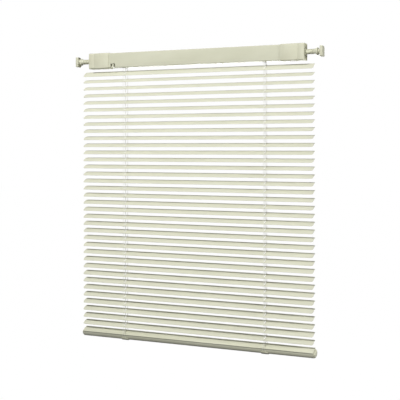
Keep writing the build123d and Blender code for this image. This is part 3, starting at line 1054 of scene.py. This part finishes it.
@dataclass
class SlatStack(Hanging):
    """The crowned slats, each with its ladder rungs."""

    count: int = 36
    length: float = 729 * MM
    width: float = 25 * MM
    crown: float = 1.8 * MM
    thickness: float = 0.5 * MM
    corner: float = 5 * MM
    slot_length: float = 12.4 * MM
    slot_width: float = 3.2 * MM
    tool_height: float = 20 * MM
    spill: float = 0.01
    arc_steps: int = 14
    corner_steps: int = 6
    slot_steps: int = 3
    first_z: float = -37.5 * MM
    pitch: float = 21.5 * MM
    first_tilt: float = 36.0
    rung_diameter: float = 0.6 * MM
    rung_gap: float = 2.6 * MM
    edge_gap: float = 0.9 * MM
    knot_radius: float = 0.75 * MM
    knot_drop: float = 0.4 * MM
    knot_stretch: float = 1.5

    @property
    def radius(self) -> float:
        """Radius of the crown."""
        half = self.width / 2
        return (half * half + self.crown * self.crown) / (2 * self.crown)

    def _blank(self) -> Piece:
        """A level slat with its top at the pivot.

        Returns:
            The slat, about the origin.
        """
        half_angle = self.width * (1 + 2 * self.spill) / 2 / self.radius
        y, z = -self.radius * sin(half_angle), self.radius * (cos(half_angle) - 1)
        reach = self.length * (1 + self.spill) / 2
        strip = Bench.trail("slat", [(-reach, y, z), (reach, y, z)])
        bpy.ops.mesh.spin(steps=self.arc_steps, angle=2 * half_angle, center=(0, 0, -self.radius), axis=(1, 0, 0))
        Bench.leave()
        Bench.apply(strip, "SOLIDIFY", thickness=self.thickness, offset=0)
        outline = Bench.block("outline", (self.length, self.width, self.tool_height), (0, 0, 0))
        Bench.bevel(outline, self._upright, self.corner, self.corner_steps)
        Bench.cut(strip, outline, "INTERSECT")
        for x in self.ladders:
            slot = Bench.block("slot", (self.slot_width, self.slot_length, self.tool_height), (x, 0, 0))
            Bench.bevel(slot, self._upright, self.slot_width * 0.49, self.slot_steps)
            Bench.cut(strip, slot, "DIFFERENCE")
        return Bench.smooth(strip, 30)

    @staticmethod
    def _upright(edge: bmesh.types.BMEdge) -> bool:
        """Whether an edge stands along Z."""
        run = edge.verts[0].co - edge.verts[1].co
        return hypot(run.x, run.y) < TOUCH

    def _rungs(self, tilt: float) -> Piece:
        """The rungs of both ladders below one level slat, and the knots at their ends.

        Args:
            tilt: The slat's tilt at rest in degrees; the strings stand upright at both sides of it.

        Returns:
            One mesh.
        """
        reach = self.string_y / cos(radians(tilt))
        half = self.width / 2
        edge_z = -self.crown - self.thickness
        under = -self.thickness / 2 - self.rung_diameter / 2
        rear = [(reach, 0.4 * edge_z, 0.0), (half + self.edge_gap, 0.8 * edge_z, 0.4)]
        rear += [(half * share, under - self.crown * share * share, 1.0) for share in (0.8, 0.4)]
        section = [(-y, z, share) for y, z, share in rear] + [(0, under, 1.0)] + rear[::-1]
        pieces = []
        for x in self.ladders:
            for gap in (-self.rung_gap, self.rung_gap):
                route = [(x + share * gap, y, z) for y, z, share in section]
                pieces.append(Bench.cord("rung", route, self.rung_diameter, 1))
            for y in (-reach, reach):
                Bench.clear()
                bpy.ops.mesh.primitive_uv_sphere_add(
                    segments=10, ring_count=6, radius=self.knot_radius, location=(x, y, -self.knot_drop)
                )
                knot = bpy.context.object
                knot.scale.z = self.knot_stretch
                pieces.append(Bench.settle(knot))
        return Bench.join("rungs", pieces)

    def build(self, paints: Paintbox) -> None:
        """Place every slat and its rungs.

        Args:
            paints: The materials.
        """
        blank = self._blank()
        rungs = {tilt: self._rungs(tilt) for tilt in (self.first_tilt, self.tilt)}
        for index in range(self.count):
            name = f"slat_{index + 1:02d}"
            tilt = self.first_tilt if index == 0 else self.tilt
            move = self.hang(self.first_z - index * self.pitch, tilt)
            slat = Bench.copy(blank, f"{name}_smooth", move)
            paints.dress_piece(slat, "slat_vinyl", name)
            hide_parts(name)
            rung = Bench.smooth(Bench.copy(rungs[tilt], f"{name}_rungs", move), 60)
            paints.dress_piece(rung, "ladder_cord", name)
        for made in (blank, *rungs.values()):
            bpy.data.objects.remove(made, do_unlink=True)


@dataclass
class BottomRail(Hanging):
    """The bellied rail, its end caps, the ladder clips and the tails of the strings that they hold."""

    pivot_z: float = -811.5 * MM
    half_width: float = 12.8 * MM
    floor_z: float = -22.75 * MM
    corner: float = 8 * MM
    clip_length: float = 21 * MM
    clip_thickness: float = 1.6 * MM
    clip_under: float = 5 * MM
    clip_front: float = 10 * MM
    clip_corner: float = 3.5 * MM
    clip_round: float = 0.45 * MM
    edge_round: float = 0.35 * MM
    body_top: float = -4.65 * MM
    body_side: float = 12 * MM
    belly: tuple[Pair, ...] = in_mm(
        (-4.65, 11.9), (-8, 12.6), (-11, 12.8), (-14, 12.6), (-17, 11.9), (-19.8, 10.3), (-21.9, 7.6), (-22.75, 4.6)
    )
    string_end_z: float = 8.3 * MM
    tail_spread: float = 3.2 * MM
    tail_diameter: float = 0.9 * MM
    front_bend: float = 14 * MM
    rear_bend: float = 6 * MM

    @property
    def place(self) -> Matrix:
        """From the level rail about its pivot to its tilted place."""
        return self.hang(self.pivot_z, self.tilt)

    def _clip(self, x: float) -> Piece:
        """A saddle with rounded corners round the level rail's lower front edge.

        Args:
            x: Its middle along the rail.

        Returns:
            The clip as a closed mesh.
        """
        low, front = self.floor_z, -self.half_width
        line = [(0, self.clip_under, low)]
        for step in range(7):
            angle = radians(15 * step)
            line.append((0, front + self.corner * (1 - sin(angle)), low + self.corner * (1 - cos(angle))))
        line.append((0, front, low + self.clip_front))
        edge = [(x + self.clip_length * half, *line[0][1:]) for half in (-0.5, 0.5)]
        made = Bench.trail("clip", edge, line)
        Bench.leave()

        def at_end(vert: bmesh.types.BMVert) -> bool:
            """Whether a vertex lies at one of the line's ends."""
            return any(hypot(vert.co.y - y, vert.co.z - z) < TOUCH for _, y, z in (line[0], line[-1]))

        Bench.edit(made, "VERT", at_end)
        bpy.ops.mesh.bevel(offset=self.clip_corner, segments=5, affect="VERTICES")
        Bench.close()
        middle_face = made.data.polygons[len(made.data.polygons) // 2]
        outwards = Vector((0, -1, -1)).dot(middle_face.normal) > 0
        Bench.apply(made, "SOLIDIFY", thickness=self.clip_thickness, offset=1 if outwards else -1)
        Bench.ease(made, self.clip_round, 50)
        return made

    def _tails(self, side: int) -> Piece:
        """The strings' four tails on one side, from the ladders' ends into the clips.

        Args:
            side: -1 for the front, 1 for the rear.

        Returns:
            One mesh, in its place on the tilted rail.
        """
        lean = Matrix.Rotation(-radians(self.tilt), 4, "X")
        start = lean @ Vector((0, side * self.string_y, self.string_end_z))
        out = self.half_width + 0.55 * self.tail_diameter
        low = self.floor_z
        if side < 0:
            name = "front_ladder_tails"
            path = [(-out, z, 1) for z in (0.5 * MM, -6 * MM, low + self.clip_front, -16 * MM)]
        else:
            name = "rear_ladder_tails"
            under = low - 0.55 * self.tail_diameter
            path = [(out, z, 1) for z in (-0.5 * MM, -7 * MM, low + self.corner)]
            path += [(out - 2.6 * MM, low + 2 * MM, 1), (self.half_width - self.corner, under, 0.9)]
            path += [(y, under, 0.8) for y in (self.clip_under, 0)]
        pieces = []
        for x in self.ladders:
            for spread in (-self.tail_spread, self.tail_spread):
                route = [(x, start.y, start.z), *((x + share * spread, y, z) for y, z, share in path)]
                pieces.append(Bench.cord("tail", route, self.tail_diameter))
        return Bench.smooth(Bench.put(Bench.join("tails", pieces), name, self.place), 60)

    def _narrowing(self, z: float) -> float:
        """The bellied body's width as a share of the plain one's at a height of the level rail.

        Args:
            z: The height.

        Returns:
            The share, 1 or less.
        """
        drop = min(max(self.floor_z + self.corner - z, 0), self.corner)
        plain = self.half_width - self.corner + (self.corner * self.corner - drop * drop) ** 0.5
        for (above, wide), (below, narrow) in zip(self.belly, self.belly[1:]):
            if z >= below:
                share = min((above - z) / (above - below), 1)
                return (wide + share * (narrow - wide)) / plain
        return self.belly[-1][1] / plain

    def _round_belly(self, piece: Piece, place: Matrix) -> None:
        """Round a piece's sides below the rail's groove, from upright at the top to well under at the floor.

        Args:
            piece: The rail, its caps or a clip.
            place: From the level rail to where the piece lies.
        """
        normal = place.to_3x3() @ Vector((0, 0, 1))
        Bench.edit(piece)
        for height, _ in self.belly[1:-1]:
            bpy.ops.mesh.select_all(action="SELECT")
            bpy.ops.mesh.bisect(plane_co=place @ Vector((0, 0, height)), plane_no=normal)
        Bench.leave()
        back = place.inverted()
        for vert in piece.data.vertices:
            level = back @ vert.co
            at_side = abs(level.y) > self.body_side or level.z < self.body_top - 0.5 * MM
            if at_side and level.z < self.body_top + 0.1 * MM:
                level.y *= self._narrowing(level.z)
                vert.co = place @ level
        Bench.smooth(piece, 32)

    def build(self, paints: Paintbox) -> None:
        """Round the rail and its caps, and add the clips and the tails.

        Args:
            paints: The materials.
        """
        for node, slot in (("bottom_rail", "rail_vinyl"), ("rail_end_caps", "ivory_plastic")):
            piece = Bench.soften(node, f"{node}_rounded", self.edge_round)
            self._round_belly(piece, self.place)
            paints.dress_piece(piece, slot, "rail")
            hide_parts(node)
        clips = Bench.join("clips", [self._clip(x) for x in self.ladders])
        self._round_belly(clips, Matrix.Identity(4))
        piece = Bench.smooth(Bench.put(clips, "ladder_clips_detailed", self.place), 35)
        paints.dress_piece(piece, "ivory_plastic", "rail")
        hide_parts("ladder_clips")
        for side, reach in ((-1, self.front_bend), (1, self.rear_bend)):
            tails = paints.dress_piece(self._tails(side), "ladder_cord", None)
            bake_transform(tails)


@dataclass
class Cords(Hanging):
    """Ladder strings and lift cords."""

    drum_y: float = 8 * MM
    rod_z: float = -6 * MM
    exit_z: float = -24.4 * MM
    exit_bend: float = 3 * MM
    spread_z: float = -32 * MM
    spread_bend: float = 4 * MM
    end_z: float = -803.2 * MM
    string_diameter: float = 0.9 * MM
    lift_diameter: float = 1.4 * MM
    lift_z: float = -15.8 * MM
    lift_bend: float = 6 * MM
    motor_half: float = 52 * MM
    rail_z: float = -811.5 * MM
    closed_share: float = 0.49

    @staticmethod
    def _braided(node: str, lines: Sequence[Sequence[Point]], diameter: float) -> Piece:
        """The cords that stand for a CAD node, one along each line, as one mesh."""
        runs = [Bench.cord("run", line, diameter) for line in lines]
        return Bench.smooth(Bench.join(f"{node}_braided", runs), 60)

    def build(self, paints: Paintbox) -> None:
        """Build every string and cord over its solid.

        Args:
            paints: The materials.
        """
        for side, name in ((-1, "front_ladder_strings"), (1, "rear_ladder_strings")):
            drum_y, string_y = side * self.drum_y, side * self.string_y
            down = [(drum_y, z) for z in (self.rod_z, self.exit_z + self.exit_bend, self.exit_z)]
            down += [(string_y, z) for z in (self.spread_z, self.spread_z - self.spread_bend, self.end_z)]
            lines = [[(x, y, z) for y, z in down] for x in self.ladders]
            piece = self._braided(name, lines, self.string_diameter)
            paints.dress_piece(piece, "ladder_cord", "root")
            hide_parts(name)
            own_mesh(piece)
        along = [(x, self.lift_z) for x in (self.motor_half, self.ladder_x - self.lift_bend, self.ladder_x)]
        along += [(self.ladder_x, z) for z in (self.lift_z - self.lift_bend, self.rail_z)]
        lines = [[(side * x, 0, z) for x, z in along] for side in (-1, 1)]
        piece = self._braided("lift_cords", lines, self.lift_diameter)
        paints.dress_piece(piece, "lift_cord", "root")
        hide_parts("lift_cords")


# Studio


@dataclass(frozen=True)
class Lamp:
    """One soft disk lamp that looks at a point."""

    name: str
    place: Point
    aim: Point
    size: float
    watts: float

    def build(self) -> None:
        """Add the lamp."""
        data = bpy.data.lights.new(self.name, "AREA")
        data.shape = "DISK"
        data.size = self.size
        data.energy = self.watts
        lamp = add(self.name, data)
        lamp.location = self.place
        lamp.rotation_euler = (Vector(self.aim) - Vector(self.place)).to_track_quat("-Z", "Y").to_euler()


@dataclass
class Studio:
    """Camera, floor, lamps and world."""

    eye: Point = (1.109, -2.350, -0.263)
    azimuth: float = 24.8
    lens: float = 81.02
    sensor: float = 36
    shift_y: float = -0.1295
    world_tint: Colour = (1, 1, 0.86, 1)
    world_strength: float = 0.07
    floor_z: float = -1.5
    floor_size: float = 40
    floor_tint: Colour = (0.08, 0.08, 0.08, 1)
    floor_glow: float = 1.03
    floor_share: float = 0.97
    lamps: tuple[Lamp, ...] = (
        Lamp("key", (-0.6, -2.8, 1.7), (0, 0, -0.4), 0.8, 112),
        Lamp("side", (3.2, -0.8, 0.1), (0.2, 0, -0.2), 1.2, 62),
        Lamp("back", (-1.2, 3.2, -0.35), (0, 0, -0.4), 1.6, 60),
    )

    def _camera(self) -> None:
        """Place the camera."""
        data = bpy.data.cameras.new("camera")
        data.lens = self.lens
        data.sensor_width = self.sensor
        data.shift_y = self.shift_y
        camera = add("camera", data)
        camera.location = self.eye
        camera.rotation_euler = (radians(90), 0, radians(self.azimuth))
        bpy.context.scene.camera = camera

    def _world(self) -> None:
        """Plain soft light all round, white to the camera."""
        world = bpy.data.worlds.new("studio")
        bpy.context.scene.world = world
        graph = Graph(world)
        soft, white = (
            graph.node("ShaderNodeBackground", inputs={"Color": tint, "Strength": strength})
            for tint, strength in ((self.world_tint, self.world_strength), (WHITE, 1.0))
        )
        mixed = graph.node("ShaderNodeMixShader", inputs={0: graph.seen(), 1: soft, 2: white})
        graph.cover(mixed, "ShaderNodeOutputWorld")

    def _floor(self) -> None:
        """A pale floor that keeps a faint shadow."""
        Bench.clear()
        bpy.ops.mesh.primitive_plane_add(size=self.floor_size, location=(0, 0, self.floor_z))
        floor = bpy.context.object
        floor.name = "floor"
        graph = Graph(bpy.data.materials.new("floor"))
        matt = graph.node("ShaderNodeBsdfDiffuse", inputs={"Color": self.floor_tint})
        glow = graph.node("ShaderNodeEmission", inputs={"Color": WHITE, "Strength": self.floor_glow})
        share = graph.seen() * self.floor_share
        graph.cover(graph.node("ShaderNodeMixShader", inputs={0: share, 1: matt, 2: glow}))
        floor.data.materials.append(graph.owner)

    def build(self) -> None:
        """Set up everything round the blind."""
        bpy.context.scene.view_settings.view_transform = "Standard"
        self._camera()
        self._world()
        self._floor()
        for lamp in self.lamps:
            lamp.build()


def main() -> None:
    """Build the blind and its studio."""
    logging.basicConfig(level=logging.INFO, format="%(name)s %(message)s")
    paints = Paintbox()
    Studio().build()
    Cords().build(paints)
    Headrail().build(paints)
    for side in Side:
        TensionScrew(side).build(paints)
    SlatStack().build(paints)
    BottomRail().build(paints)


if __name__ == "__main__":
    main()
